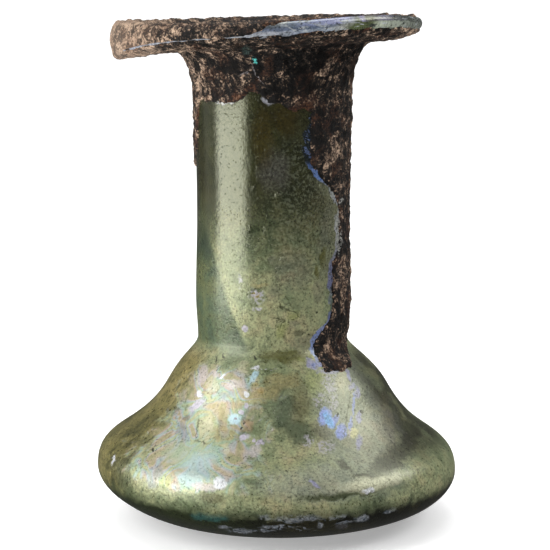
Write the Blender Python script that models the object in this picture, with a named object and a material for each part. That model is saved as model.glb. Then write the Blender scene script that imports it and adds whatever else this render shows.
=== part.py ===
"""Ancient blown glass flask: flat bulb, tall neck and wide turned-out rim. Metres, +Z up, front is -Y."""
import math

import bmesh
import bpy

# Bulb
FOOT_RADIUS = 0.0120
BODY_RADIUS = 0.0325
BODY_WIDEST_HEIGHT = 0.0088
SHOULDER_RADIUS = 0.0200
SHOULDER_RISE = 0.0152
SHOULDER_ROUNDING = 0.0070
SHOULDER_SWEEP = 0.0116
SHOULDER_SLOPE = math.radians(29.7)

# Neck, measured from the crease at its root
NECK_ROOT_RISE = 0.0086
NECK_ROOT_RADIUS = 0.01342
NECK_ROOT_SLOPE = math.radians(8.0)
NECK_ROOT_BULGE = 0.0060
NECK_ROOT_TURN = 0.0022
NECK_SWELL_RADIUS = 0.01375
NECK_WAIST_RADIUS = 0.01347
NECK_LENGTH = 0.0448
NECK_TOP_RADIUS = 0.0138

# Flare and rim
FLARE_RADIUS = 0.0177
FLARE_RISE = 0.0077
RIM_RADIUS = 0.0277
RIM_RISE = 0.0014

# Walls of glass
BASE_WALL = 0.0034
BODY_WALL = 0.0022
NECK_WALL = 0.0018
RIM_THICKNESS = 0.0022

# Hand-made unevenness
BULB_SKEW = 0.0006
NECK_OFFSET = 0.00075
RIM_OFFSET = 0.0009
RIM_TILT = 0.045
RIM_WAVE = 0.0004
RIM_LIFT = 0.0010
RIM_LIFT_ANGLE = math.radians(45.0)
LOBE_ANGLE = math.radians(-90.0)
LOBE_TOP_GROWTH = 0.0021
LOBE_UNDER_GROWTH = 0.0027

# Burial crust, a low relief on the rim and down the right of the neck, turning behind it
CRUST_DEPTH = 0.0003
CRUST_EDGE_HEIGHT = 0.0754
CRUST_NOTCH_RISE = 0.0019
CRUST_EDGE_FALL = 0.0013
CRUST_LEFT_DROP = 0.0088
CRUST_STRIP_FOOT = 0.0286
CRUST_STRIP_ANGLE = math.radians(30.0)
CRUST_STRIP_NARROWING = math.radians(30.0)
CRUST_STRIP_WIDENING = math.radians(18.0)
CRUST_FOOT_ANGLE = math.radians(55.0)
CRUST_FOOT_TURN = math.radians(6.0)
CRUST_BACK_END = math.radians(284.0)

# Facets
SEGMENTS = 64
MERGE_DISTANCE = 0.00001


def smooth(value, low, high):
    """A soft step from 0 at low to 1 at high."""
    share = min(max((value - low) / (high - low), 0.0), 1.0)
    return share * share * (3.0 - 2.0 * share)


def bump(angle, centre, width):
    """A soft hill around the axis, 1 at its centre."""
    turn = math.remainder(angle - centre, math.tau)
    return math.exp(-(turn / width) ** 2)


def widest_to_shoulder_height():
    return BODY_WIDEST_HEIGHT + SHOULDER_RISE


def root_height():
    return widest_to_shoulder_height() + NECK_ROOT_RISE


def neck_top_height():
    return root_height() + NECK_LENGTH


def flare_height():
    return neck_top_height() + FLARE_RISE


def bezier(start, handle_a, handle_b, end, steps):
    """Points of one smooth curve after its start, each a radius and a height."""
    points = []
    for step in range(1, steps + 1):
        t = step / steps
        u = 1.0 - t
        weights = (u * u * u, 3 * u * u * t, 3 * u * t * t, t * t * t)
        corners = (start, handle_a, handle_b, end)
        radius = sum(w * c[0] for w, c in zip(weights, corners))
        height = sum(w * c[1] for w, c in zip(weights, corners))
        points.append((radius, height))
    return points


def foot_points(steps):
    """The flat disc that the flask stands on."""
    return [(FOOT_RADIUS * step / steps, 0.0) for step in range(steps + 1)]


def bulb_points(steps):
    """The rounded underside, from the foot to the widest place."""
    points = []
    for step in range(1, steps + 1):
        turn = 0.5 * math.pi * step / steps
        radius = FOOT_RADIUS + (BODY_RADIUS - FOOT_RADIUS) * math.sin(turn)
        height = BODY_WIDEST_HEIGHT * (1.0 - math.cos(turn))
        points.append((radius, height))
    return points


def shoulder_points(steps):
    """Over the shoulder, rounded at first and then a hollow sweep."""
    start = (BODY_RADIUS, BODY_WIDEST_HEIGHT)
    end = (SHOULDER_RADIUS, widest_to_shoulder_height())
    handle_a = (start[0], start[1] + SHOULDER_ROUNDING)
    handle_b = (
        end[0] + SHOULDER_SWEEP * math.sin(SHOULDER_SLOPE),
        end[1] - SHOULDER_SWEEP * math.cos(SHOULDER_SLOPE),
    )
    return bezier(start, handle_a, handle_b, end, steps)


def root_points(steps):
    """Up to the crease where the neck begins."""
    start = (SHOULDER_RADIUS, widest_to_shoulder_height())
    end = (NECK_ROOT_RADIUS, root_height())
    handle_a = (
        start[0] - NECK_ROOT_BULGE * math.sin(SHOULDER_SLOPE),
        start[1] + NECK_ROOT_BULGE * math.cos(SHOULDER_SLOPE),
    )
    handle_b = (
        end[0] + NECK_ROOT_TURN * math.sin(NECK_ROOT_SLOPE),
        end[1] - NECK_ROOT_TURN * math.cos(NECK_ROOT_SLOPE),
    )
    return bezier(start, handle_a, handle_b, end, steps)


def neck_points(steps):
    """The tall neck: a slight swell above the crease, a waist, then wider again."""
    points = []
    for step in range(1, steps + 1):
        share = step / steps
        swell = (NECK_SWELL_RADIUS - NECK_ROOT_RADIUS) * smooth(share, 0.0, 0.16)
        waist = (NECK_WAIST_RADIUS - NECK_SWELL_RADIUS) * smooth(share, 0.16, 0.5)
        top = (NECK_TOP_RADIUS - NECK_WAIST_RADIUS) * smooth(share, 0.55, 1.0)
        radius = NECK_ROOT_RADIUS + swell + waist + top
        points.append((radius, root_height() + NECK_LENGTH * share))
    return points


def flare_points(steps):
    """The trumpet that turns out of the neck into the rim."""
    start = (NECK_TOP_RADIUS, neck_top_height())
    end = (FLARE_RADIUS, flare_height())
    handle_a = (start[0] + 0.06 * FLARE_RISE, start[1] + 0.60 * FLARE_RISE)
    handle_b = (end[0] - 0.50 * (end[0] - start[0]), end[1] - 0.06 * FLARE_RISE)
    return bezier(start, handle_a, handle_b, end, steps)


def rim_points(steps):
    """The underside of the rim, nearly flat."""
    start = (FLARE_RADIUS, flare_height())
    end = (RIM_RADIUS - 0.5 * RIM_THICKNESS, flare_height() + RIM_RISE)
    points = []
    for step in range(1, steps + 1):
        share = step / steps
        rise = (end[1] - start[1]) * share ** 3
        points.append((start[0] + (end[0] - start[0]) * share, start[1] + rise))
    return points


def with_wall(points, wall_from, wall_to):
    """Add to each point the thickness of glass behind it."""
    count = len(points)
    return [
        (radius, height, wall_from + (wall_to - wall_from) * (index + 1) / count)
        for index, (radius, height) in enumerate(points)
    ]


def outside(fine):
    """The outside profile from the centre of the foot to the rim, with the wall at each point."""
    profile = with_wall(foot_points(2), BASE_WALL, BASE_WALL)
    profile += with_wall(bulb_points(7 if fine else 6), BASE_WALL, BODY_WALL)
    profile += with_wall(shoulder_points(9 if fine else 6), BODY_WALL, BODY_WALL)
    profile += with_wall(root_points(5 if fine else 3), BODY_WALL, NECK_WALL)
    profile += with_wall(neck_points(13 if fine else 4), NECK_WALL, NECK_WALL)
    profile += with_wall(flare_points(5 if fine else 4), NECK_WALL, RIM_THICKNESS)
    profile += with_wall(rim_points(4 if fine else 3), RIM_THICKNESS, RIM_THICKNESS)
    return profile


def inside(profile):
    """The inside profile: each point set in by its wall, square to the surface."""
    points = []
    last = len(profile) - 1
    for index, (radius, height, wall) in enumerate(profile):
        before = profile[max(index - 1, 0)]
        after = profile[min(index + 1, last)]
        along_radius = after[0] - before[0]
        along_height = after[1] - before[1]
        length = math.hypot(along_radius, along_height)
        inner_radius = radius - wall * along_height / length
        inner_height = height + wall * along_radius / length
        if index == 0:
            inner_radius = 0.0
        points.append((inner_radius, inner_height))
    return points


def lip_points(under, over, steps):
    """The rounded edge of the rim, from its underside to its top."""
    centre_radius = 0.5 * (under[0] + over[0])
    centre_height = 0.5 * (under[1] + over[1])
    half = 0.5 * math.hypot(over[0] - under[0], over[1] - under[1])
    start = math.atan2(under[1] - centre_height, under[0] - centre_radius)
    points = []
    for step in range(1, steps):
        turn = start + math.pi * step / steps
        points.append((centre_radius + half * math.cos(turn), centre_height + half * math.sin(turn)))
    return points


def closed_profile():
    """The whole section of glass, from the centre of the foot round the rim to the centre inside."""
    outer = [(radius, height) for radius, height, wall in outside(True)]
    inner = inside(outside(False))
    lip = lip_points(outer[-1], inner[-1], 4)
    return outer + lip + inner[::-1]


def crust_edge_height(angle):
    """The height of the crust's lower edge around the top of the neck."""
    turn = math.remainder(angle, math.tau)
    height = CRUST_EDGE_HEIGHT + CRUST_NOTCH_RISE * bump(turn, math.radians(-13.0), math.radians(9.0))
    height -= CRUST_EDGE_FALL * smooth(turn, math.radians(5.0), math.radians(15.0))
    height -= CRUST_LEFT_DROP * smooth(-turn, math.radians(66.0), math.radians(76.0))
    return height


def strip_left_angle(height):
    """Where the strip of crust down the neck begins, seen from the front."""
    angle = CRUST_STRIP_ANGLE
    angle += CRUST_STRIP_NARROWING * (1.0 - smooth(height, 0.056, 0.066))
    angle -= 0.3 * CRUST_STRIP_NARROWING * (1.0 - smooth(height, 0.0465, 0.0500))
    angle -= CRUST_STRIP_WIDENING * (1.0 - smooth(height, 0.0320, 0.0390))
    return angle


def strip_right_angle(height):
    """Where the strip ends: at the front near its foot, then on around the back to the left."""
    angle = CRUST_FOOT_ANGLE + CRUST_FOOT_TURN * (height - CRUST_STRIP_FOOT) / 0.001
    return min(angle, CRUST_BACK_END)


def crust_reach(angle, radius, height):
    """How far a place lies inside the crusted area, in metres; negative on bare glass."""
    turn = angle % math.tau
    above_edge = height - crust_edge_height(angle)
    from_left = (turn - strip_left_angle(height)) * radius
    from_right = (strip_right_angle(height) - turn) * radius
    return max(above_edge, min(from_left, from_right, height - CRUST_STRIP_FOOT))


def warped(x, y, z, outward):
    """Move a turned point to where the uneven hand-made glass has it."""
    radius = math.hypot(x, y)
    angle = math.atan2(x, -y)
    rim_share = min(max((radius - FLARE_RADIUS) / (RIM_RADIUS - FLARE_RADIUS), 0.0), 1.0)
    top_share = smooth(z, neck_top_height(), flare_height())
    rim_middle = flare_height() + RIM_RISE + 0.5 * RIM_THICKNESS
    under_share = min(max((rim_middle - z) / RIM_THICKNESS + 0.5, 0.0), 1.0)

    # The crust stands proud of the outside
    if outward:
        depth = CRUST_DEPTH * smooth(crust_reach(angle, radius, z), -0.0004, 0.0008)
        depth *= 1.0 - smooth(z, neck_top_height(), flare_height())
        x += depth * math.sin(angle)
        y -= depth * math.cos(angle)

    # The bulb leans: higher on the left
    lean = smooth(z, 0.0, 0.5 * BODY_WIDEST_HEIGHT) * (1.0 - smooth(z, 0.017, 0.025))
    side = x / BODY_RADIUS
    z -= BULB_SKEW * lean * (side - 0.3 * side * side)

    # The rim is tilted, waved and lifted at the front right
    z += top_share * RIM_TILT * x
    z -= top_share * rim_share * RIM_WAVE * math.cos(2.0 * angle + math.pi)
    z += top_share * rim_share * RIM_LIFT * bump(angle, RIM_LIFT_ANGLE, math.radians(32.0))

    # The heavy lobe on the left grows up on its top face and down on its underside
    grown = top_share * rim_share ** 1.5
    z += grown * (1.0 - under_share) * LOBE_TOP_GROWTH * bump(angle, LOBE_ANGLE, math.radians(55.0))
    z -= grown * under_share * LOBE_UNDER_GROWTH * bump(angle, LOBE_ANGLE, math.radians(36.0))

    # Neck and rim stand a little left of the bulb's centre
    x -= NECK_OFFSET * smooth(z, widest_to_shoulder_height(), root_height())
    x -= RIM_OFFSET * top_share * rim_share
    return x, y, z


def glass_material():
    """Weathered olive-green glass."""
    material = bpy.data.materials.new("weathered_glass")
    material.use_nodes = True
    shader = material.node_tree.nodes["Principled BSDF"]
    shader.inputs["Base Color"].default_value = (0.17, 0.18, 0.08, 1.0)
    shader.inputs["Roughness"].default_value = 0.28
    shader.inputs["Metallic"].default_value = 0.0
    shader.inputs["IOR"].default_value = 1.5
    shader.inputs["Transmission Weight"].default_value = 0.45
    return material


def make_vessel():
    """Turn the section about the upright axis and work it uneven."""
    profile = closed_profile()
    outside_count = len(outside(True))
    work = bmesh.new()
    side = work.verts.layers.float.new("outside")
    section = [work.verts.new((radius, 0.0, height)) for radius, height in profile]
    for index, vertex in enumerate(section):
        vertex[side] = 1.0 if index < outside_count else 0.0
    edges = [work.edges.new(pair) for pair in zip(section, section[1:])]
    bmesh.ops.spin(
        work,
        geom=section + edges,
        axis=(0.0, 0.0, 1.0),
        cent=(0.0, 0.0, 0.0),
        steps=SEGMENTS,
        angle=math.tau,
        use_merge=True,
    )
    bmesh.ops.remove_doubles(work, verts=work.verts, dist=MERGE_DISTANCE)
    for vertex in work.verts:
        vertex.co = warped(vertex.co.x, vertex.co.y, vertex.co.z, vertex[side] > 0.5)
    bmesh.ops.recalc_face_normals(work, faces=work.faces)
    mesh = bpy.data.meshes.new("vessel")
    work.to_mesh(mesh)
    work.free()
    for polygon in mesh.polygons:
        polygon.use_smooth = True
    mesh.materials.append(glass_material())
    vessel = bpy.data.objects.new("vessel", mesh)
    bpy.context.collection.objects.link(vessel)
    return vessel


def main():
    for thing in list(bpy.data.objects):
        bpy.data.objects.remove(thing)
    make_vessel()


main()
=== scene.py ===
import math

import bpy
import numpy as np
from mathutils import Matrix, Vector, noise


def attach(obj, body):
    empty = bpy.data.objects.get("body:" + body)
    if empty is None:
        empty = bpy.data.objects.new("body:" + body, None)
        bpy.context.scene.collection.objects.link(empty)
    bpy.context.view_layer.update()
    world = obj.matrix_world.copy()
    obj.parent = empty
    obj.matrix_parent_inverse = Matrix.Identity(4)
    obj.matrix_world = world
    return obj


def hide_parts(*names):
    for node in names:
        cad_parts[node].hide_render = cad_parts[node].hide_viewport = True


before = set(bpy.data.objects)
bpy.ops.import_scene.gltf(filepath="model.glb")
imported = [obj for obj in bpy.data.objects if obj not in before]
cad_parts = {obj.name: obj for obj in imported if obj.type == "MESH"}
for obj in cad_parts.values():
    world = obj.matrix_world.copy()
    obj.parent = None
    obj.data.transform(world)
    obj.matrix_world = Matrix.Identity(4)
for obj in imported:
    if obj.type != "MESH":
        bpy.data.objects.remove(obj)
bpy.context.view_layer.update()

# Bulb, in metres
FOOT_RADIUS = 0.0120
BODY_RADIUS = 0.0325
BODY_WIDEST_HEIGHT = 0.0088
SHOULDER_RADIUS = 0.0200
SHOULDER_RISE = 0.0152
SHOULDER_ROUNDING = 0.0070
SHOULDER_SWEEP = 0.0116
SHOULDER_SLOPE = math.radians(29.7)

# Neck
NECK_ROOT_RISE = 0.0086
NECK_ROOT_RADIUS = 0.01342
NECK_ROOT_SLOPE = math.radians(8.0)
NECK_ROOT_BULGE = 0.0060
NECK_ROOT_TURN = 0.0022
NECK_SWELL_RADIUS = 0.01375
NECK_WAIST_RADIUS = 0.01347
NECK_LENGTH = 0.0448
NECK_TOP_RADIUS = 0.0138

# Flare and rim
FLARE_RADIUS = 0.0177
FLARE_RISE = 0.0077
RIM_RADIUS = 0.0277
RIM_RISE = 0.0014

# Walls of glass
BASE_WALL = 0.0034
BODY_WALL = 0.0022
NECK_WALL = 0.0018
RIM_THICKNESS = 0.0022

# Hand-made unevenness
BULB_SKEW = 0.0006
NECK_OFFSET = 0.00075
RIM_OFFSET = 0.0009
RIM_TILT = 0.045
RIM_WAVE = 0.0004
RIM_LIFT = 0.0010
RIM_LIFT_ANGLE = math.radians(45.0)
LOBE_ANGLE = math.radians(-90.0)
LOBE_TOP_GROWTH = 0.0021
LOBE_UNDER_GROWTH = 0.0027

# Burial crust
CRUST_EDGE_HEIGHT = 0.0754
CRUST_NOTCH_RISE = 0.0019
CRUST_EDGE_FALL = 0.0013
CRUST_LEFT_DROP = 0.0088
CRUST_STRIP_FOOT = 0.0286
CRUST_STRIP_ANGLE = math.radians(30.0)
CRUST_STRIP_NARROWING = math.radians(30.0)
CRUST_STRIP_WIDENING = math.radians(18.0)
CRUST_FOOT_ANGLE = math.radians(55.0)
CRUST_FOOT_TURN = math.radians(6.0)
CRUST_BACK_END = math.radians(284.0)
CRUST_THICKNESS = 0.00034
CRUST_LUMPS = 0.00030
CRUST_CRUMBS = 0.00008
CRUST_LEAST = 0.00008
CRUST_MOST = 0.0009
CRUST_SUNK = -0.00012
CRUST_HIDDEN = -0.00006
CRUST_RAGGED = 0.0005
CRUST_RAGGED_BEHIND = 0.0008
LIP_BARE_FROM = math.radians(-8.0)
LIP_BARE_TURN = math.radians(18.0)
LIP_BARE_TO = math.radians(110.0)

# Noise of the edges, patches, lumps and crumbs: scale, octaves and seed
EDGE_NOISE = (700.0, 3, 2)
PATCH_NOISE = (420.0, 3, 12)
LUMP_NOISE = (700.0, 5, 5)
CRUMB_NOISE = (2600.0, 3, 9)

# Heights between which each part of the glass's skin, the painted shade and the painted reflection come
# in and go out
FILM_OUT = (0.037, 0.062)
SPECKLE_IN = (0.040, 0.050)
SPECKLE_OUT = (0.064, 0.072)
GOLD_OUT = (0.029, 0.032)
GREEN_IN = (0.030, 0.033)
GREEN_OUT = (0.049, 0.056)
ARC_IN = (0.033, 0.036)
ARC_OUT = (0.050, 0.056)
PEARL_IN = (0.0095, 0.012)
PEARL_OUT = (0.027, 0.0315)
# A painted reflection on the neck's right comes in and goes out between these heights
PAINTED_REFLECTION_IN = (0.040, 0.046)
PAINTED_REFLECTION_OUT = (0.060, 0.063)
# Painted shade: the bulb's right flank is darkened in colour between these heights, standing in for the
# dim side
PAINTED_SHADE_IN = (0.0125, 0.016)
PAINTED_SHADE_OUT = (0.029, 0.032)

# The film's arc on the left of the neck: where it starts and how it turns away, for each millimetre up
ARC_FOOT = 0.032
ARC_FOOT_ANGLE = math.radians(-17.0)
ARC_TURN = math.radians(1.87)

# Heights along the axis
SHOULDER_HEIGHT = BODY_WIDEST_HEIGHT + SHOULDER_RISE
ROOT_HEIGHT = SHOULDER_HEIGHT + NECK_ROOT_RISE
NECK_TOP_HEIGHT = ROOT_HEIGHT + NECK_LENGTH
FLARE_HEIGHT = NECK_TOP_HEIGHT + FLARE_RISE
RIM_MIDDLE = FLARE_HEIGHT + RIM_RISE + 0.5 * RIM_THICKNESS

# Camera, as solved from the outline
CAMERA_DISTANCE = 0.350
CAMERA_HEIGHT = 0.096
CAMERA_PITCH = math.radians(8.52)
CAMERA_LENS = 128.7
CAMERA_SHIFT = -0.0027
SENSOR_WIDTH = 36.0

# How the surfaces take the light
GLASS_IOR = 1.52
GLASS_SPECULAR = 1.0
GLASS_SHEEN_TINT = (0.97, 1.0, 0.74, 1.0)
GLASS_CLEARNESS = 0.10
GLASS_RELIEF = 0.00005
GLASS_RELIEF_STRENGTH = 0.8
CRUST_SPECULAR = 0.3
CRUST_RELIEF = 0.0009
CRUST_RELIEF_STRENGTH = 0.85
FLOOR_ROUGHNESS = 0.7
FLOOR_SPECULAR = 0.2
FLOOR_GLOW = 0.35
AIR_GLOW = 0.085

# A unit, the gap in millimetres that stands for no crust near, and plain white
MILLIMETRE = 0.001
NO_GAP = 20.0
WHITE = (1.0, 1.0, 1.0, 1.0)

# How finely the pieces are meshed: segments around, and points on the rounded lip
GLASS_SEGMENTS = 256
CRUST_SEGMENTS = 400
GLASS_LIP_STEPS = 14
CRUST_LIP_STEPS = 18

# Marks on the front, each x, z, half width, half height in millimetres and lean in degrees
# Painted dark reflection: a dark green patch in the middle of the bulb, standing in for dark
# surroundings mirrored there
PAINTED_DARK_REFLECTION = (
    (1.5, 23.0, 1.8, 2.8, 0),
    (2.7, 20.8, 2.2, 1.5, -35),
    (4.3, 19.7, 1.6, 1.4, 0),
)
BROWN_STAINS = (
    (4.3, 24.4, 1.3, 2.4, 0),
    (7.6, 20.0, 1.1, 1.6, 40),
    (19.6, 19.5, 0.8, 3.0, 12),
    (-10.8, 10.4, 1.9, 0.6, 0),
    (-15.7, 20.8, 0.5, 0.3, 0),
    (-9.7, 21.0, 0.35, 2.0, -12),
)
NECK_STAINS = (
    (1.5, 72.9, 1.7, 2.2, 0),
    (-2.3, 69.7, 1.4, 3.5, 0),
)
OLIVE_CREASE = (
    (2.0, 31.3, 4.6, 0.8, 0),
    (8.1, 47.9, 0.6, 1.7, -10),
    (7.0, 45.6, 0.3, 1.3, 5),
)
TAN_PATCHES = (
    (0.9, 27.6, 2.5, 1.0, 0),
    (-1.1, 26.0, 1.4, 1.0, 0),
    (-10.7, 22.6, 1.5, 1.3, 0),
    (-8.8, 19.3, 1.6, 1.2, 0),
    (-3.2, 25.1, 1.7, 1.1, 30),
    (-2.7, 43.7, 1.2, 0.3, 8),
)
GOLD_PATCHES = (
    (-3.6, 26.9, 0.8, 0.5, 25),
    (-3.7, 41.8, 0.6, 0.4, 0),
    (-2.6, 26.3, 0.5, 0.4, 20),
)
GREEN_PATCHES = (
    (-18.9, 12.2, 1.1, 0.8, 0),
    (7.3, 27.6, 1.6, 1.9, 0),
    (5.0, 30.9, 1.3, 0.3, 8),
    (1.1, 35.9, 0.8, 1.3, -40),
    (3.0, 38.2, 1.0, 0.7, 0),
)
MINT_PATCHES = (
    (-15.7, 16.2, 2.9, 1.3, 12),
    (-10.2, 16.3, 1.2, 0.8, -30),
    (-15.3, 12.3, 1.1, 0.6, 0),
    (-10.3, 26.6, 0.6, 0.9, 0),
    (-10.2, 25.4, 0.5, 1.0, 0),
    (-8.8, 18.1, 1.8, 0.2, 12),
    (-8.2, 21.2, 0.3, 0.9, 0),
    (11.5, 12.0, 0.7, 0.4, 0),
)
ICE_VEILS = (
    (-13.1, 15.3, 2.3, 1.1, 22),
    (-14.3, 13.3, 2.6, 0.9, 8),
)
SLATE_PATCHES = (
    (-8.8, 25.2, 1.4, 0.45, 5),
    (-21.4, 11.9, 0.8, 1.3, 0),
    (-20.4, 13.0, 1.2, 0.7, 30),
    (-16.2, 18.9, 0.9, 1.1, 25),
)
PALE_PATCHES = (
    (-12.0, 19.8, 0.8, 1.6, -12),
    (-11.3, 26.6, 0.9, 1.0, 0),
    (-8.5, 17.3, 0.6, 0.6, 0),
    (-5.7, 30.0, 1.0, 0.4, 10),
    (-5.9, 29.2, 0.8, 0.4, 0),
    (11.4, 27.2, 0.8, 1.2, 0),
    # The last row is a painted highlight, a cream glint inside the painted sheen
    (13.4, 12.3, 0.9, 0.4, 0),
)
SALMON_STROKES = (
    (-8.3, 26.2, 1.0, 0.15, -18),
    (-7.4, 23.8, 1.2, 0.5, 5),
    (-5.0, 20.8, 0.8, 0.7, 0),
    (-17.0, 12.4, 0.3, 1.1, 25),
    (-12.5, 25.4, 0.2, 0.9, -25),
    (-11.6, 25.3, 0.9, 0.2, 5),
)
PINK_PEARLS = (
    (-7.4, 26.9, 1.5, 0.6, 10),
    (-10.7, 28.1, 0.5, 0.5, 0),
    (-12.0, 12.1, 2.2, 0.5, 0),
    (-13.0, 27.6, 0.7, 1.6, -25),
    (-3.6, 17.3, 1.0, 0.7, 20),
    (12.7, 19.1, 0.3, 0.5, 0),
)
LILAC_FLAKES = (
    (-13.8, 23.0, 1.6, 0.45, 35),
    (-5.4, 19.1, 0.8, 0.4, 18),
    (-2.9, 18.4, 0.8, 0.3, 12),
    (-3.8, 18.7, 0.2, 0.2, 0),
    (-6.0, 22.8, 0.4, 0.4, 0),
    (-5.2, 23.9, 0.3, 0.3, 0),
    (-5.5, 36.0, 0.5, 0.65, 0),
)
ICE_FLAKES = (
    (-3.9, 28.2, 1.1, 0.45, 55),
    (-7.1, 21.6, 0.9, 0.75, 0),
)
RING_EYE = ((-7.1, 21.6, 0.3, 0.25, 0),)
WHITE_FLAKES_AND_GLINT = (
    (-3.6, 29.6, 0.7, 0.3, 0),
    (-5.2, 25.5, 0.4, 0.4, 0),
    (-13.4, 24.8, 0.4, 0.5, 0),
    (-9.5, 27.8, 0.7, 0.13, 31),
    (-9.4, 12.8, 0.9, 0.8, 0),
    (-28.6, 12.8, 0.25, 0.7, -25),
    # The last row is a painted highlight, the brightest glint inside the painted sheen
    (15.6, 11.1, 0.9, 0.4, 0),
)
EDGE_FLAKES = (
    (-9.4, 75.2, 0.8, 0.30, 0),
    (-1.4, 75.7, 0.9, 0.60, -25),
    (-7.6, 75.5, 0.5, 0.40, 30),
)
GREY_VEILS = (
    (11.5, 22.0, 3.2, 5.0, 0),
    (15.5, 18.0, 3.6, 6.0, 35),
    (9.0, 12.6, 8.0, 1.8, 0),
)
SPATTER = (
    (7.5, 24.4, 1.0, 0.9, 0),
    (5.5, 18.6, 0.8, 0.8, 0),
    (8.4, 17.5, 1.3, 0.8, 0),
    (9.4, 26.8, 1.1, 2.0, 8),
    (9.9, 24.3, 0.8, 1.6, 0),
    (-3.5, 41.9, 1.2, 1.1, 0),
    (-6.3, 44.4, 0.5, 1.0, 8),
    (-3.4, 39.7, 0.8, 0.4, 0),
    (-1.4, 29.5, 1.3, 0.12, 0),
)
LAVENDER_FLAKES = (
    (6.2, 30.0, 1.2, 0.6, -35),
    (9.3, 28.6, 2.0, 0.35, -5),
    (12.6, 27.6, 0.25, 1.0, 20),
    (13.1, 25.9, 0.5, 0.45, 0),
    (14.2, 24.8, 0.5, 0.75, 0),
    (14.3, 21.1, 0.4, 0.8, 0),
    (14.2, 17.6, 0.5, 0.9, -15),
    (6.4, 12.8, 0.9, 0.25, -38),
)
PERIWINKLE_FLAKES = (
    (13.4, 23.2, 0.25, 2.0, -6),
    (10.3, 21.4, 0.5, 0.6, -20),
    (11.2, 19.5, 0.7, 1.0, 10),
    (12.8, 20.4, 0.3, 0.9, -12),
    (6.5, 29.8, 0.4, 0.3, 0),
)
BLUE_SHARDS = (
    (8.3, 21.9, 1.0, 1.3, -35),
    (9.4, 20.9, 0.8, 0.8, 20),
    (11.1, 19.4, 0.9, 1.0, 10),
)
CYAN_FLAKE = ((8.9, 21.4, 0.6, 1.3, 30),)
YELLOW_DOT = ((13.4, 19.0, 0.55, 0.6, 0),)
DARK_SMEARS = (
    (20.4, 15.0, 4.0, 1.2, 16),
    (16.2, 13.2, 2.6, 0.3, -5),
    (11.6, 14.8, 1.4, 0.3, -35),
    (22.9, 16.3, 0.3, 0.7, 10),
)
DARK_BAND = ((11.4, 10.9, 6.0, 0.45, 2),)
# Painted highlight: a silvery sheen low on the bulb's right, standing in for the right light mirrored
# there
PAINTED_SHEEN_HIGHLIGHT = ((16.0, 12.0, 5.4, 0.9, 0),)
NECK_GREYS = (
    (-0.3, 63.5, 2.0, 2.4, 0),
    (2.8, 46.3, 2.4, 2.4, 0),
    (-0.8, 48.1, 0.5, 0.6, 0),
    (8.7, 52.0, 1.0, 3.5, -8),
    (7.3, 42.3, 0.7, 1.8, 0),
    (-0.4, 42.5, 0.9, 1.2, 0),
    (4.6, 33.2, 1.6, 1.2, 0),
    (2.8, 36.8, 1.0, 0.6, 30),
)
DARK_OVAL = ((3.9, 35.3, 0.9, 0.5, 0),)
FINE_CRACKS = (
    (12.2, 21.6, 0.1, 4.1, -12),
    (2.3, 39.4, 1.4, 0.12, -22),
    (3.5, 38.6, 0.9, 0.1, -45),
    (0.1, 38.0, 1.2, 0.1, -12),
    (1.0, 37.0, 0.1, 0.8, -20),
    (0.8, 39.9, 0.3, 0.3, 0),
    (-13.6, 20.0, 0.1, 1.8, -10),
    (-12.6, 17.9, 1.1, 0.1, -8),
)
DARK_PITS = (
    (-3.7, 31.0, 0.2, 0.2, 0),
    (-9.3, 31.0, 0.15, 0.3, 0),
    (-10.5, 30.2, 0.18, 0.35, -15),
    (-5.4, 21.1, 0.18, 0.15, 0),
    (-6.0, 20.4, 0.2, 0.2, 0),
    (-21.3, 15.9, 0.25, 0.2, 0),
    (14.8, 21.8, 0.25, 0.22, 0),
    (10.5, 21.9, 0.2, 0.25, 0),
    (7.1, 38.6, 0.22, 0.22, 0),
    (-8.0, 16.2, 0.17, 0.15, 0),
)
TEAL_PATCHES = ((-11.2, 6.9, 2.8, 0.9, 0),)
FOOT_SILVERS = (
    (-5.8, 4.2, 2.2, 0.6, 6),
    (-2.4, 4.6, 1.4, 0.4, 4),
    (-1.8, 7.6, 1.2, 0.5, 0),
    (1.8, 7.2, 2.0, 0.6, -5),
    (5.6, 7.4, 2.4, 0.5, -3),
    (7.2, 5.9, 0.5, 0.6, 0),
    (14.4, 6.4, 1.0, 0.7, 0),
    (19.4, 6.8, 1.0, 0.5, 8),
    (0.2, 5.6, 2.6, 0.3, 2),
    (4.2, 5.0, 1.6, 0.4, -6),
    (9.6, 7.2, 1.8, 0.35, 6),
    (-8.4, 4.9, 1.2, 0.4, 10),
    (11.6, 5.9, 1.4, 0.3, 4),
)
FOOT_GREY = ((11.0, 5.2, 1.0, 0.9, 0),)
BUBBLES = (
    (-3.9, 60.5, 0.35, 0.35, 0),
    (0.2, 59.4, 0.35, 0.35, 0),
    (-4.7, 53.4, 0.3, 0.6, 0),
    (-2.1, 53.2, 0.15, 0.6, 0),
    (0.9, 48.3, 0.35, 0.3, 0),
    (0.3, 46.7, 0.35, 0.2, 0),
    (0.0, 22.0, 0.25, 0.2, 0),
    (-3.4, 63.2, 0.12, 1.0, 5),
)

# Marks on the crust, as above
CRUST_FLAKE = ((-3.7, 82.6, 0.35, 0.6, 25),)
CRUST_DIM_FLAKE = ((-5.0, 84.5, 0.7, 0.8, 0),)
CRUST_LINING = (
    (9.9, 57.6, 0.5, 0.8, -20),
    (10.2, 55.3, 0.35, 1.3, 5),
    (10.6, 53.0, 0.35, 1.5, -10),
    (11.2, 50.3, 0.3, 1.9, -8),
    (11.4, 57.8, 0.3, 0.6, -30),
)
CRUST_CRACKS = (
    (-4.0, 81.3, 0.1, 0.8, 10),
    (-5.4, 80.4, 0.9, 0.12, 25),
    (-3.2, 79.7, 0.1, 1.1, 38),
)


def smooth(value, low, high):
    """A soft step from 0 at low to 1 at high, on numbers or arrays."""
    share = np.clip((value - low) / (high - low), 0.0, 1.0)
    return share * share * (3.0 - 2.0 * share)


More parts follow.
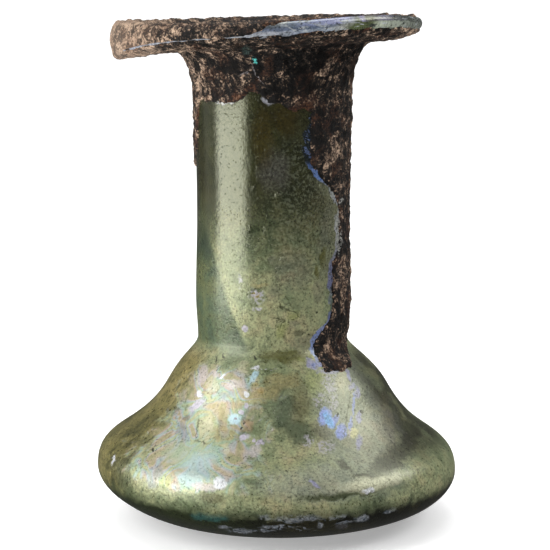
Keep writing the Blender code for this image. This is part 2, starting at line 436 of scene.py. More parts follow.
def fade(value, low, high):
    """A soft step from 1 at low to 0 at high."""
    return 1.0 - smooth(value, low, high)


def bump(angle, centre, width):
    """A soft hill around the axis, 1 at its centre."""
    turn = np.mod(angle - centre + math.pi, math.tau) - math.pi
    return np.exp(-((turn / width) ** 2))


def bezier(start, handle_a, handle_b, end, steps):
    """Points of one smooth curve after its start, each a radius and a height."""
    points = []
    for step in range(1, steps + 1):
        t = step / steps
        u = 1.0 - t
        weights = (u * u * u, 3 * u * u * t, 3 * u * t * t, t * t * t)
        corners = (start, handle_a, handle_b, end)
        radius = sum(w * c[0] for w, c in zip(weights, corners))
        height = sum(w * c[1] for w, c in zip(weights, corners))
        points.append((radius, height))
    return points


def foot_points(steps):
    """The flat disc that the flask stands on."""
    return [(FOOT_RADIUS * step / steps, 0.0) for step in range(steps + 1)]


def bulb_points(steps):
    """The rounded underside, from the foot to the widest place."""
    points = []
    for step in range(1, steps + 1):
        turn = 0.5 * math.pi * step / steps
        radius = FOOT_RADIUS + (BODY_RADIUS - FOOT_RADIUS) * math.sin(turn)
        height = BODY_WIDEST_HEIGHT * (1.0 - math.cos(turn))
        points.append((radius, height))
    return points


def shoulder_points(steps):
    """Over the shoulder, rounded at first and then a hollow sweep."""
    start = (BODY_RADIUS, BODY_WIDEST_HEIGHT)
    end = (SHOULDER_RADIUS, SHOULDER_HEIGHT)
    handle_a = (start[0], start[1] + SHOULDER_ROUNDING)
    handle_b = (
        end[0] + SHOULDER_SWEEP * math.sin(SHOULDER_SLOPE),
        end[1] - SHOULDER_SWEEP * math.cos(SHOULDER_SLOPE),
    )
    return bezier(start, handle_a, handle_b, end, steps)


def root_points(steps):
    """Up to the crease where the neck begins."""
    start = (SHOULDER_RADIUS, SHOULDER_HEIGHT)
    end = (NECK_ROOT_RADIUS, ROOT_HEIGHT)
    handle_a = (
        start[0] - NECK_ROOT_BULGE * math.sin(SHOULDER_SLOPE),
        start[1] + NECK_ROOT_BULGE * math.cos(SHOULDER_SLOPE),
    )
    handle_b = (
        end[0] + NECK_ROOT_TURN * math.sin(NECK_ROOT_SLOPE),
        end[1] - NECK_ROOT_TURN * math.cos(NECK_ROOT_SLOPE),
    )
    return bezier(start, handle_a, handle_b, end, steps)


def neck_points(steps):
    """The tall neck: a slight swell above the crease, a waist, then wider again."""
    points = []
    for step in range(1, steps + 1):
        share = step / steps
        swell = (NECK_SWELL_RADIUS - NECK_ROOT_RADIUS) * smooth(share, 0.0, 0.16)
        waist = (NECK_WAIST_RADIUS - NECK_SWELL_RADIUS) * smooth(share, 0.16, 0.5)
        top = (NECK_TOP_RADIUS - NECK_WAIST_RADIUS) * smooth(share, 0.55, 1.0)
        radius = NECK_ROOT_RADIUS + swell + waist + top
        points.append((radius, ROOT_HEIGHT + NECK_LENGTH * share))
    return points


def flare_points(steps):
    """The trumpet that turns out of the neck into the rim."""
    start = (NECK_TOP_RADIUS, NECK_TOP_HEIGHT)
    end = (FLARE_RADIUS, FLARE_HEIGHT)
    handle_a = (start[0] + 0.06 * FLARE_RISE, start[1] + 0.60 * FLARE_RISE)
    handle_b = (end[0] - 0.50 * (end[0] - start[0]), end[1] - 0.06 * FLARE_RISE)
    return bezier(start, handle_a, handle_b, end, steps)


def rim_points(steps):
    """The underside of the rim, nearly flat."""
    start = (FLARE_RADIUS, FLARE_HEIGHT)
    end = (RIM_RADIUS - 0.5 * RIM_THICKNESS, FLARE_HEIGHT + RIM_RISE)
    points = []
    for step in range(1, steps + 1):
        share = step / steps
        rise = (end[1] - start[1]) * share**3
        points.append((start[0] + (end[0] - start[0]) * share, start[1] + rise))
    return points


def with_wall(points, wall_from, wall_to):
    """Add to each point the thickness of glass behind it."""
    count = len(points)
    return [
        (radius, height, wall_from + (wall_to - wall_from) * (index + 1) / count)
        for index, (radius, height) in enumerate(points)
    ]


def outside(fineness):
    """The outside profile from the centre of the foot to the rim, with the wall at each point."""
    profile = with_wall(foot_points(3 * fineness), BASE_WALL, BASE_WALL)
    profile += with_wall(bulb_points(8 * fineness), BASE_WALL, BODY_WALL)
    profile += with_wall(shoulder_points(12 * fineness), BODY_WALL, BODY_WALL)
    profile += with_wall(root_points(6 * fineness), BODY_WALL, NECK_WALL)
    profile += with_wall(neck_points(30 * fineness), NECK_WALL, NECK_WALL)
    profile += with_wall(flare_points(7 * fineness), NECK_WALL, RIM_THICKNESS)
    profile += with_wall(rim_points(6 * fineness), RIM_THICKNESS, RIM_THICKNESS)
    return profile


def inside(profile):
    """The inside profile: each point set in by its wall, square to the surface."""
    points = []
    last = len(profile) - 1
    for index, (radius, height, wall) in enumerate(profile):
        before = profile[max(index - 1, 0)]
        after = profile[min(index + 1, last)]
        along_radius = after[0] - before[0]
        along_height = after[1] - before[1]
        length = math.hypot(along_radius, along_height)
        inner_radius = radius - wall * along_height / length
        inner_height = height + wall * along_radius / length
        if index == 0:
            inner_radius = 0.0
        points.append((inner_radius, inner_height))
    return points


def lip_points(under, over, steps):
    """The rounded edge of the rim, from its underside to its top."""
    centre_radius = 0.5 * (under[0] + over[0])
    centre_height = 0.5 * (under[1] + over[1])
    half = 0.5 * math.hypot(over[0] - under[0], over[1] - under[1])
    start = math.atan2(under[1] - centre_height, under[0] - centre_radius)
    points = []
    for step in range(1, steps):
        turn = start + math.pi * step / steps
        points.append((centre_radius + half * math.cos(turn), centre_height + half * math.sin(turn)))
    return points


def crust_edge_height(angle):
    """The height of the crust's lower edge around the top of the neck."""
    turn = np.mod(angle + math.pi, math.tau) - math.pi
    height = CRUST_EDGE_HEIGHT + CRUST_NOTCH_RISE * bump(turn, math.radians(-13.0), math.radians(9.0))
    height = height - CRUST_EDGE_FALL * smooth(turn, math.radians(5.0), math.radians(15.0))
    return height - CRUST_LEFT_DROP * smooth(-turn, math.radians(66.0), math.radians(76.0))


def strip_left_angle(height):
    """Where the strip of crust down the neck begins, seen from the front."""
    angle = CRUST_STRIP_ANGLE
    angle = angle + CRUST_STRIP_NARROWING * fade(height, 0.056, 0.066)
    angle = angle - 0.3 * CRUST_STRIP_NARROWING * fade(height, 0.0465, 0.0500)
    return angle - CRUST_STRIP_WIDENING * fade(height, 0.0320, 0.0390)


def strip_right_angle(height):
    """Where the strip ends: at the front near its foot, then on around the back to the left."""
    angle = CRUST_FOOT_ANGLE + CRUST_FOOT_TURN * (height - CRUST_STRIP_FOOT) / MILLIMETRE
    return np.minimum(angle, CRUST_BACK_END)


def crust_reach(angle, radius, height):
    """How far a place lies inside the crusted area, in metres; negative on bare glass."""
    turn = np.mod(angle, math.tau)
    above_edge = height - crust_edge_height(angle)
    from_left = (turn - strip_left_angle(height)) * radius
    from_right = (strip_right_angle(height) - turn) * radius
    in_strip = np.minimum(np.minimum(from_left, from_right), height - CRUST_STRIP_FOOT)
    return np.maximum(above_edge, in_strip)


def warped(radius, height, angle):
    """Move turned points to where the uneven hand-made glass has them."""
    x = radius * np.sin(angle)
    y = -radius * np.cos(angle)
    z = height + 0.0 * angle
    rim_share = np.clip((radius - FLARE_RADIUS) / (RIM_RADIUS - FLARE_RADIUS), 0.0, 1.0)
    top_share = smooth(z, NECK_TOP_HEIGHT, FLARE_HEIGHT)
    under_share = np.clip((RIM_MIDDLE - z) / RIM_THICKNESS + 0.5, 0.0, 1.0)

    # The bulb leans: higher on the left
    lean = smooth(z, 0.0, 0.5 * BODY_WIDEST_HEIGHT) * fade(z, 0.017, 0.025)
    side = x / BODY_RADIUS
    z = z - BULB_SKEW * lean * (side - 0.3 * side * side)

    # The rim is tilted, waved and lifted at the front right
    z = z + top_share * RIM_TILT * x
    z = z - top_share * rim_share * RIM_WAVE * np.cos(2.0 * angle + math.pi)
    z = z + top_share * rim_share * RIM_LIFT * bump(angle, RIM_LIFT_ANGLE, math.radians(32.0))

    # The heavy lobe on the left grows up on its top face and down on its underside
    grown = top_share * rim_share**1.5
    top_lobe = bump(angle, LOBE_ANGLE, math.radians(55.0))
    under_lobe = bump(angle, LOBE_ANGLE, math.radians(36.0))
    z = z + grown * (1.0 - under_share) * LOBE_TOP_GROWTH * top_lobe
    z = z - grown * under_share * LOBE_UNDER_GROWTH * under_lobe

    # Neck and rim stand a little left of the bulb's centre
    x = x - NECK_OFFSET * smooth(z, SHOULDER_HEIGHT, ROOT_HEIGHT)
    x = x - RIM_OFFSET * top_share * rim_share
    return np.stack([x, y, z], axis=-1)


def grid_of(profile, segments):
    """Radius, height and angle of every point of a turned grid, and its warped place."""
    angles = math.pi + math.tau * np.arange(segments) / segments
    radii = np.array([point[0] for point in profile])[:, None] + 0.0 * angles
    heights = np.array([point[1] for point in profile])[:, None] + 0.0 * angles
    angles = angles[None, :] + 0.0 * radii
    return radii, heights, angles, warped(radii, heights, angles)


def grid_faces(rings, segments, first=0):
    """The faces of a turned grid that closes on itself around the axis."""
    faces = []
    for ring in range(rings - 1):
        low = first + ring * segments
        high = low + segments
        for segment in range(segments):
            after = (segment + 1) % segments
            faces.append((low + segment, low + after, high + after, high + segment))
    return faces


def new_object(name, vertices, faces, material):
    """A smooth-shaded mesh object of plain data."""
    mesh = bpy.data.meshes.new(name)
    mesh.from_pydata([tuple(v) for v in vertices], [], faces)
    mesh.polygons.foreach_set("use_smooth", [True] * len(mesh.polygons))
    mesh.materials.append(material)
    mesh.update()
    made = bpy.data.objects.new(name, mesh)
    bpy.context.collection.objects.link(made)
    return made


def write_attribute(made, name, values):
    """Keep one number for each vertex, for the material to read."""
    attribute = made.data.attributes.new(name, "FLOAT", "POINT")
    attribute.data.foreach_set("value", np.asarray(values, dtype=np.float32).ravel())


def field(places, scale, octaves, seed, stretch=(1.0, 1.0, 1.0)):
    """Seeded fractal noise at each place, about -1 to 1."""
    shift = Vector((seed * 7.31, seed * 3.17, seed * 5.53))
    values = []
    for x, y, z in places.reshape(-1, 3):
        spot = Vector((x * scale * stretch[0], y * scale * stretch[1], z * scale * stretch[2])) + shift
        values.append(noise.fractal(spot, 0.9, 2.1, octaves))
    return np.array(values).reshape(places.shape[:-1])


def srgb(red, green, blue):
    """A colour given in 0 to 255 display values, as the shader wants it."""
    channels = []
    for value in (red, green, blue):
        share = value / 255.0
        channels.append(share / 12.92 if share <= 0.04045 else ((share + 0.055) / 1.055) ** 2.4)
    return (*channels, 1.0)


class Graph:
    """Short ways to build a material's nodes."""

    def __init__(self, name):
        self.material = bpy.data.materials.new(name)
        self.material.use_nodes = True
        self.tree = self.material.node_tree
        self.shader = self.tree.nodes["Principled BSDF"]
        self.coordinates = self.add("ShaderNodeTexCoord").outputs["Object"]
        self.place = self.add("ShaderNodeSeparateXYZ", {0: self.coordinates}).outputs
        self.front = self.band(self.place["Y"], 0.002, -0.002)

    def add(self, kind, inputs=None, **settings):
        """A new node with its settings, and a value or a link for each input."""
        made = self.tree.nodes.new(kind)
        for key, value in settings.items():
            setattr(made, key, value)
        for key, value in (inputs or {}).items():
            self.feed(made.inputs[key], value)
        return made

    def feed(self, socket, value):
        if isinstance(value, bpy.types.NodeSocket):
            self.tree.links.new(value, socket)
        else:
            socket.default_value = value

    def give(self, name, value):
        """Set or link one of the shader's own sockets."""
        self.feed(self.shader.inputs[name], value)

    def math(self, operation, first, second=0.0, clamp=False):
        inputs = {0: first, 1: second}
        return self.add("ShaderNodeMath", inputs, operation=operation, use_clamp=clamp).outputs[0]

    def plus(self, first, second):
        return self.math("ADD", first, second)

    def minus(self, first, second):
        return self.math("SUBTRACT", first, second)

    def times(self, first, second):
        return self.math("MULTIPLY", first, second)

    def around_half(self, value, reach):
        """A noise value turned into a push up or down, by up to half the reach."""
        return self.times(self.minus(value, 0.5), reach)

    def band(self, value, low, high, to_low=0.0, to_high=1.0):
        """A soft step from low to high."""
        inputs = {"Value": value, "From Min": low, "From Max": high, "To Min": to_low, "To Max": to_high}
        return self.add("ShaderNodeMapRange", inputs, interpolation_type="SMOOTHSTEP").outputs["Result"]

    def mix(self, share, first, second, blend="MIX"):
        inputs = {"Factor": share, 6: first, 7: second}
        return self.add("ShaderNodeMix", inputs, data_type="RGBA", blend_type=blend).outputs[2]

    def lay(self, cover, share, colour, tint):
        """A display tint laid over a colour, up to its share where it covers."""
        return self.mix(self.times(cover, share), colour, srgb(*tint))

    def ramp(self, value, stops):
        made = self.add("ShaderNodeValToRGB", {"Fac": value})
        elements = made.color_ramp.elements
        while len(elements) < len(stops):
            elements.new(0.5)
        for element, (place, colour) in zip(elements, stops):
            element.position = place
            element.color = colour
        return made.outputs["Color"]

    def tones(self, value, *stops):
        """A ramp of display colours, each stop a place with its red, green and blue."""
        return self.ramp(value, [(place, srgb(*colour)) for place, *colour in stops])

    def greys(self, value, *stops):
        """A ramp of plain levels, each stop a place with its level."""
        return self.ramp(value, [(place, (level, level, level, 1.0)) for place, level in stops])

    def attribute(self, name):
        return self.add("ShaderNodeAttribute", attribute_name=name).outputs["Fac"]

    def stretched(self, x, y, z, lean=0.0):
        """Coordinates drawn out along each axis, after a lean seen from the front."""
        turned = (0.0, math.radians(-lean), 0.0)
        inputs = {"Vector": self.coordinates, "Rotation": turned, "Scale": (x, y, z)}
        return self.add("ShaderNodeMapping", inputs, vector_type="TEXTURE").outputs["Vector"]

    def noise(self, scale, detail=4.0, roughness=0.5, distortion=0.0, vector=None, output="Fac"):
        inputs = {"Vector": vector or self.coordinates, "Scale": scale, "Detail": detail}
        inputs.update({"Roughness": roughness, "Distortion": distortion})
        return self.add("ShaderNodeTexNoise", inputs).outputs[output]

    def wobbled(self, scale, reach):
        """Coordinates pushed about by noise, for edges that wander."""
        push = self.vector("SUBTRACT", self.noise(scale, 3.0, output="Color"), (0.5, 0.5, 0.5))
        push = self.vector("MULTIPLY", push, (reach, reach, reach))
        return self.vector("ADD", self.coordinates, push)

    def cells(self, scale, vector, feature="F1"):
        return self.add("ShaderNodeTexVoronoi", {"Vector": vector, "Scale": scale}, feature=feature)

    def vector(self, operation, first, second, output="Vector"):
        inputs = {0: first, 1: second}
        return self.add("ShaderNodeVectorMath", inputs, operation=operation).outputs[output]

    def marks(self, vector, rows, soft, fray=None):
        """How much each place is covered by a group of leaning oval marks on the front."""
        nearest = None
        for x, z, wide, high, lean in rows:
            cosine, sine = math.cos(math.radians(lean)), math.sin(math.radians(lean))
            wide, high = wide * MILLIMETRE, high * MILLIMETRE
            along_axis = (cosine / wide, 0.0, sine / wide)
            across_axis = (-sine / high, 0.0, cosine / high)
            offset = self.vector("SUBTRACT", vector, (MILLIMETRE * x, 0.0, MILLIMETRE * z))
            along = self.vector("DOT_PRODUCT", offset, along_axis, "Value")
            across = self.vector("DOT_PRODUCT", offset, across_axis, "Value")
            squares = self.plus(self.times(along, along), self.times(across, across))
            nearest = squares if nearest is None else self.math("MINIMUM", nearest, squares)
        if fray is not None:
            nearest = self.plus(nearest, fray)
        return self.times(self.band(nearest, (1.0 + soft) ** 2, (1.0 - soft) ** 2), self.front)

    def bump(self, height, distance, strength):
        inputs = {"Strength": strength, "Distance": distance, "Height": height}
        return self.add("ShaderNodeBump", inputs).outputs["Normal"]


def bare_glass_colour(g):
    """Bare olive glass, a little browner in places and dusted with pale specks."""
    bare = g.tones(g.middle, (0.36, 18, 20, 4), (0.5, 28, 28, 5), (0.66, 38, 40, 14))
    dusted = g.times(g.band(g.fine, 0.46, 0.62), g.attribute("speckle"))
    bare = g.lay(dusted, 0.55, bare, (98, 102, 88))
    return g.mix(g.band(g.streaks, 0.58, 0.70), bare, srgb(20, 22, 10))


def film_colour(g):
    """The weathered film: yellow-green, golden on the left flank, greener low on the neck's left, and
    darkened on the bulb's right flank as painted shade.
    """
    tone = g.plus(g.times(g.middle, 0.4), g.times(g.broad, 0.6))
    film = g.tones(
        tone,
        (0.36, 96, 112, 78),
        (0.46, 140, 150, 112),
        (0.54, 162, 166, 124),
        (0.64, 172, 164, 124),
    )
    gold = g.tones(tone, (0.38, 72, 72, 42), (0.5, 122, 116, 70), (0.62, 154, 142, 92))
    green = g.tones(tone, (0.40, 60, 80, 66), (0.50, 84, 102, 76), (0.60, 108, 116, 78))
    film = g.mix(g.attribute("gold_share"), film, gold)
    film = g.mix(g.attribute("green_share"), film, green)
    film = g.mix(g.attribute("arc"), film, srgb(186, 178, 116))
    dashes = g.mix(g.attribute("right_side"), g.dashes, g.back_dashes)
    dash_share = g.plus(g.times(g.attribute("gold_share"), 0.45), 0.25)
    film = g.lay(g.band(dashes, 0.52, 0.64), dash_share, film, (62, 62, 32))
    # Painted shade: the bulb's right flank is darkened towards dark olive, broken up by noise
    painted_shade = g.times(g.attribute("painted_shade"), g.band(g.patchy, 0.38, 0.58, 0.55, 0.95))
    return g.mix(painted_shade, film, srgb(52, 54, 34))


def shimmer_colour(g):
    """Thin layers that shimmer in soft contours of pink, blue, mint and yellow."""
    thickness = g.noise(150.0, 2.0, 0.5, 1.1)
    cycle = g.math("PINGPONG", g.times(thickness, 6.0), 1.0)
    shimmer = g.tones(
        cycle,
        (0.00, 152, 150, 110),
        (0.22, 180, 162, 138),
        (0.38, 182, 172, 174),
        (0.55, 160, 176, 186),
        (0.72, 156, 184, 166),
        (0.90, 168, 174, 130),
        (1.00, 190, 184, 154),
    )
    contour = g.band(g.math("ABSOLUTE", g.minus(cycle, 0.5)), 0.05, 0.02)
    contour = g.times(contour, g.band(g.brushed, 0.45, 0.6))
    return g.lay(contour, 0.5, shimmer, (104, 96, 70))


def add_marks(g, colour):
    """Lay the named marks over the film, from the broad to the small."""
    for rows, tint, share, soft, edge in (
        # Painted dark reflection in the middle of the bulb
        (PAINTED_DARK_REFLECTION, (58, 74, 54), 0.80, 0.80, g.wander),
        (NECK_GREYS, (96, 92, 92), 0.32, 0.92, g.wander),
        (BROWN_STAINS, (92, 80, 42), 0.55, 0.65, g.wander),
        (NECK_STAINS, (60, 48, 10), 0.55, 0.92, g.wander),
        (OLIVE_CREASE, (84, 82, 22), 0.80, 0.50, g.wander),
        (TAN_PATCHES, (168, 152, 104), 0.55, 0.70, g.wander),
        (GREEN_PATCHES, (146, 156, 84), 0.55, 0.65, g.wander),
        (MINT_PATCHES, (138, 168, 146), 0.60, 0.65, g.wander),
        (ICE_VEILS, (160, 184, 190), 0.75, 0.60, g.wander),
        (SLATE_PATCHES, (124, 132, 146), 0.60, 0.65, g.wander),
        (GREY_VEILS, (160, 160, 166), 0.32, 0.95, g.wander),
        (SALMON_STROKES, (168, 124, 96), 0.48, 0.75, g.jitter),
        (PALE_PATCHES, (196, 192, 160), 0.62, 0.55, g.wander),
        (GOLD_PATCHES, (172, 142, 70), 0.55, 0.65, g.wander),
        (DARK_SMEARS, (38, 36, 24), 0.85, 0.70, g.wander),
        (DARK_BAND, (56, 66, 32), 0.85, 0.65, g.wander),
        # Painted highlight of the right light, low on the bulb
        (PAINTED_SHEEN_HIGHLIGHT, (196, 194, 164), 0.80, 0.55, g.wander),
        (PINK_PEARLS, (204, 192, 194), 0.70, 0.50, g.jitter),
        (LILAC_FLAKES, (196, 188, 208), 0.85, 0.40, g.jitter),
        (LAVENDER_FLAKES, (160, 158, 202), 0.80, 0.40, g.jitter),
        (DARK_OVAL, (92, 92, 68), 0.80, 0.35, g.jitter),
        (EDGE_FLAKES, (184, 184, 194), 0.75, 0.55, g.jitter),
        (ICE_FLAKES, (186, 218, 230), 0.88, 0.40, g.jitter),
        # White flakes, and one painted highlight glint
        (WHITE_FLAKES_AND_GLINT, (226, 228, 234), 0.95, 0.40, g.jitter),
        (RING_EYE, (150, 140, 150), 0.80, 0.30, g.jitter),
        (BLUE_SHARDS, (150, 172, 246), 0.90, 0.30, g.jitter),
        (PERIWINKLE_FLAKES, (140, 154, 216), 0.85, 0.40, g.jitter),
        (CYAN_FLAKE, (124, 186, 244), 0.95, 0.35, g.jitter),
        (YELLOW_DOT, (214, 210, 156), 0.95, 0.30, g.jitter),
        (FINE_CRACKS, (58, 62, 40), 0.75, 0.50, g.jitter),
        (DARK_PITS, (14, 12, 8), 0.95, 0.30, g.jitter),
    ):
        colour = g.lay(g.marks(edge, rows, soft, g.fray), share, colour, tint)
    spattered = g.times(g.marks(g.wander, SPATTER, 0.5), g.band(g.fine, 0.47, 0.53))
    return g.lay(spattered, 0.85, colour, (176, 172, 182))


def painted_foot_shade(g):
    """Painted shade on the dark glass under the widest place: near black, greener on the left and
    blacker on the right, with teal and silver patches.
    """
    foot = g.mix(g.band(g.place["X"], -0.012, 0.002), srgb(32, 42, 14), srgb(8, 9, 5))
    foot = g.mix(g.band(g.broad, 0.52, 0.62), foot, srgb(34, 30, 8))
    foot = g.lay(g.marks(g.wander, TEAL_PATCHES, 0.4, g.fray), 0.9, foot, (38, 84, 80))
    foot = g.lay(g.marks(g.wander, FOOT_GREY, 0.3), 0.6, foot, (70, 70, 78))
    breaks = g.band(g.noise(560.0, 4.0, 0.55, 1.8), 0.42, 0.48)
    silvered = g.times(g.marks(g.wander, FOOT_SILVERS, 0.5, g.fray), breaks)
    silver = g.tones(g.fine, (0.4, 66, 76, 90), (0.6, 138, 142, 150))
    return g.mix(silvered, foot, silver)


def halo_colour(g, colour):
    """The blue and violet halo where crust has lifted the skin beside the strip, and a paler painted
    reflection on the neck's right beside it.
    """
    gap = g.attribute("crust_gap")
    level = g.times(g.place["Z"], 10.0)
    halo = g.tones(
        level,
        (0.290, 150, 152, 196),
        (0.320, 136, 160, 222),
        (0.375, 108, 120, 178),
        (0.388, 78, 94, 84),
        (0.412, 92, 106, 96),
        (0.430, 100, 104, 142),
        (0.465, 104, 108, 136),
        (0.490, 124, 126, 122),
        (0.520, 162, 164, 158),
        (0.590, 158, 162, 156),
        (0.610, 96, 108, 110),
        (0.620, 92, 124, 180),
        (0.642, 78, 106, 160),
        (0.650, 26, 34, 42),
        (0.740, 28, 36, 46),
    )
    width = g.greys(
        level,
        (0.290, 0.40),
        (0.330, 0.52),
        (0.390, 0.30),
        (0.430, 0.72),
        (0.480, 0.40),
        (0.520, 0.30),
        (0.600, 0.26),
        (0.625, 0.36),
        (0.648, 0.30),
        (0.670, 0.55),
        (0.725, 0.45),
        (0.740, 0.00),
    )
    # Painted reflection: a paler strip on the neck's right beside the crust, standing in for the right
    # light mirrored there
    painted_reflection = g.times(g.band(gap, 4.5, 1.0), g.attribute("painted_reflection"))
    colour = g.lay(painted_reflection, 0.8, colour, (116, 118, 94))
    reach = g.times(width, 2.6)
    reach = g.plus(reach, g.around_half(g.patchy, 4.0))
    reach = g.plus(reach, g.around_half(g.middle, 1.6))
    inside = g.band(g.minus(reach, gap), -0.15, 0.15)
    cover = g.times(inside, g.band(width, 0.02, 0.10))
    cover = g.times(cover, g.band(g.fine, 0.30, 0.45, 0.4, 1.0))
    dark_net = g.band(g.noise(1300.0, 3.0, 0.5, 1.2), 0.54, 0.60)
    bright_net = g.times(g.band(level, 0.648, 0.654), dark_net)
    halo = g.lay(bright_net, 0.8, halo, (92, 108, 146))
    low_part = g.band(level, 0.650, 0.640)
    paler = g.times(g.band(g.brushed, 0.46, 0.60, 0.0, 0.4), low_part)
    halo = g.mix(paler, halo, srgb(158, 160, 186))
    darker = g.times(g.band(g.fine, 0.46, 0.36, 0.0, 0.6), low_part)
    halo = g.mix(darker, halo, srgb(52, 62, 84))
    return g.mix(cover, colour, halo)


def rim_colour(g):
    """The bare face of the rim: lavender and blue-grey at the front, olive and grey towards the tip."""
    along = g.plus(g.place["X"], g.around_half(g.patchy, 0.005))
    along = g.times(along, 30.0)
    upper = g.tones(
        along,
        (0.00, 92, 100, 112),
        (0.10, 120, 132, 152),
        (0.20, 158, 166, 206),
        (0.33, 178, 182, 224),
        (0.38, 118, 122, 112),
        (0.42, 154, 150, 196),
        (0.47, 108, 110, 94),
        (0.53, 128, 124, 152),
        (0.60, 112, 114, 118),
        (0.66, 76, 82, 76),
        (0.74, 108, 114, 108),
    )
    lower = g.tones(
        along,
        (0.00, 164, 168, 178),
        (0.12, 140, 150, 168),
        (0.25, 150, 160, 174),
        (0.33, 176, 178, 172),
        (0.38, 92, 102, 66),
        (0.47, 90, 100, 64),
        (0.51, 184, 192, 172),
        (0.60, 164, 172, 158),
        (0.68, 124, 130, 120),
    )
    level = g.plus(g.attribute("lip_level"), g.around_half(g.patchy, 0.3))
    face = g.mix(g.band(level, 0.28, 0.38), lower, upper)
    middle_dark = g.times(g.band(level, 0.16, 0.26), g.band(level, 0.42, 0.30))
    middle_dark = g.times(middle_dark, g.band(along, 0.36, 0.26))
    face = g.lay(middle_dark, 0.8, face, (84, 98, 126))
    breaks = g.noise(760.0, 5.0, 0.65, 0.5, g.stretched(2.6, 2.6, 0.8))
    face = g.mix(g.band(breaks, 0.53, 0.66), face, srgb(60, 66, 66))
    return g.mix(g.band(breaks, 0.44, 0.34), face, srgb(180, 186, 190))


def glass_surface(g):
    """Fine relief: pits, scratches, brushed streaks, grain and bubbles."""
    pits = g.cells(1500.0, g.jitter)
    pit_depth = g.band(pits.outputs["Distance"], 0.10, 0.24)
    coarse = g.plus(g.times(g.attribute("speckle"), 3.4), 1.0)
    relief = g.plus(g.times(g.fine, coarse), g.times(pit_depth, 1.1))
    for part, share in ((g.grain, 0.4), (g.middle, 1.2), (g.dashes, 0.5), (g.streaks, 0.3)):
        relief = g.plus(relief, g.times(part, share))
    relief = g.plus(relief, g.times(g.marks(g.jitter, BUBBLES, 0.5), 4.0))
    return g.bump(relief, GLASS_RELIEF, GLASS_RELIEF_STRENGTH)


def glass_material():
    """Dark olive glass under a weathered, iridescent skin."""
    g = Graph("weathered_glass_skin")
    g.wander = g.wobbled(420.0, 0.0020)
    g.jitter = g.wobbled(1300.0, 0.0010)
    g.grain = g.noise(2600.0, 3.0, 0.6)
    g.fine = g.noise(1800.0, 5.0, 0.6)
    g.middle = g.noise(420.0, 5.0, 0.55, 0.4)
    g.fray = g.plus(g.around_half(g.fine, 2.0), g.around_half(g.middle, 2.4))
    g.broad = g.noise(95.0, 4.0, 0.5, 0.3)
    g.patchy = g.noise(230.0, 3.0, 0.5, 0.5)
    g.streaks = g.noise(1700.0, 4.0, 0.6, 0.0, g.stretched(1.0, 1.0, 8.0))
    g.dashes = g.noise(1100.0, 4.0, 0.6, 0.2, g.stretched(3.2, 1.5, 1.0, 38.0))
    g.back_dashes = g.noise(1100.0, 4.0, 0.6, 0.2, g.stretched(3.2, 1.5, 1.0, -52.0))
    g.brushed = g.noise(620.0, 4.0, 0.6, 0.3)

    # Film over bare glass, then shimmer, marks and grain
    film_cover = g.times(g.attribute("film"), g.band(g.fine, 0.25, 0.5, 0.75, 1.0))
    colour = g.mix(film_cover, bare_glass_colour(g), film_colour(g))
    pearl_share = g.plus(g.attribute("pearl"), g.around_half(g.middle, 1.6))
    pearl_cover = g.band(pearl_share, 0.30, 0.75)
    colour = g.mix(g.times(pearl_cover, 0.8), colour, shimmer_colour(g))
    colour = add_marks(g, colour)

    # The foot's painted shade, the halo and the rim each have their own edge
    underside_shade_edge = g.plus(g.place["Z"], g.around_half(g.middle, 0.0030))
    # Painted shade: below the widest place the colour fades to dark olive, then to the near-black
    # painted foot
    colour = g.mix(g.band(underside_shade_edge, 0.0098, 0.0080, 0.0, 0.55), colour, srgb(58, 72, 44))
    colour = g.mix(g.band(underside_shade_edge, 0.0086, 0.0066), colour, painted_foot_shade(g))
    colour = halo_colour(g, colour)
    colour = g.mix(g.attribute("violet"), colour, rim_colour(g))
    specks = g.times(g.band(g.grain, 0.42, 0.34), g.band(g.patchy, 0.44, 0.54))
    colour = g.lay(specks, 0.6, colour, (30, 32, 18))
    gains = g.greys(g.grain, (0.36, 0.60), (0.62, 1.0))
    grain_share = g.minus(1.0, g.times(pearl_cover, 0.55))
    colour = g.mix(grain_share, colour, gains, "MULTIPLY")
    gains = g.greys(g.fine, (0.38, 0.76), (0.58, 1.0))
    colour = g.mix(grain_share, colour, gains, "MULTIPLY")

    g.give("Base Color", colour)
    g.give("Metallic", g.plus(g.times(pearl_cover, 0.15), 0.05))
    rough = g.plus(g.times(film_cover, 0.20), g.times(g.fine, 0.12))
    g.give("Roughness", g.math("ADD", rough, 0.06, clamp=True))
    g.give("Normal", glass_surface(g))
    g.give("IOR", GLASS_IOR)
    g.give("Specular IOR Level", GLASS_SPECULAR)
    g.give("Specular Tint", GLASS_SHEEN_TINT)
    g.give("Transmission Weight", GLASS_CLEARNESS)
    return g.material


